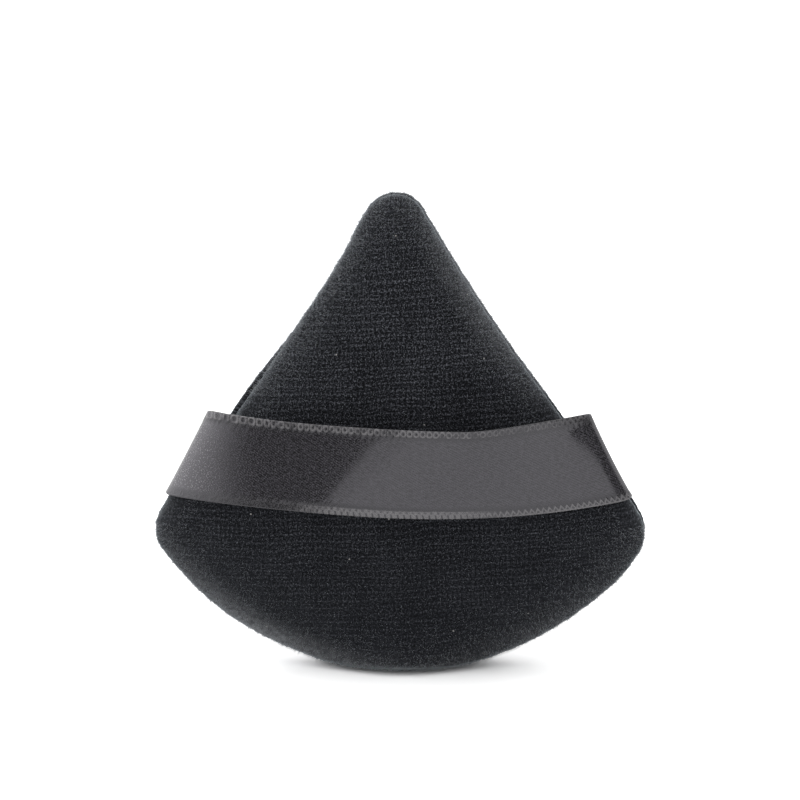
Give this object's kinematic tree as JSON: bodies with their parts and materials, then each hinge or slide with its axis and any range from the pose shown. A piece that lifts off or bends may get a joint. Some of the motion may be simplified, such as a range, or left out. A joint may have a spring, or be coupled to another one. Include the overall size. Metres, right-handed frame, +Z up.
{
  "type": "powder puff",
  "caption": "Triangular velour powder puff with a sponge core and a satin ribbon arched across its front as a finger strap, standing on its curved lower edge.",
  "frame": {"origin": "middle of the flat that the puff's weight presses into its curved lower edge, on the seam between the two covers", "axes": "+X across the puff to the right as seen from the ribbon's side, +Y through the thickness away from the ribbon, +Z up to the apex"},
  "size_m": [0.07, 0.0212, 0.069],
  "materials": {
    "velour": "black short-pile polyester velour",
    "sponge": "soft open-cell sponge, hidden by the covers",
    "satin_ribbon": "charcoal-black woven satin with corded edges",
    "thread": "black polyester sewing thread"
  },
  "bodies": {
    "pad": {"front_cover": "velour", "back_cover": "velour", "sponge_core": "sponge", "seam_thread": "thread", "closing_thread": "thread", "ribbon_left_end": "satin_ribbon", "ribbon_right_end": "satin_ribbon"},
    "strap": {"ribbon_span": "satin_ribbon"}
  },
  "joints": [
    {"name": "ribbon_lift", "type": "slide", "parent": "pad", "child": "strap", "axis": [0, -1, 0], "range_m": [-0.003, 0.006], "stiffness_N_per_m": 2, "deforming": ["ribbon_left_end", "ribbon_right_end"]}
  ]
}
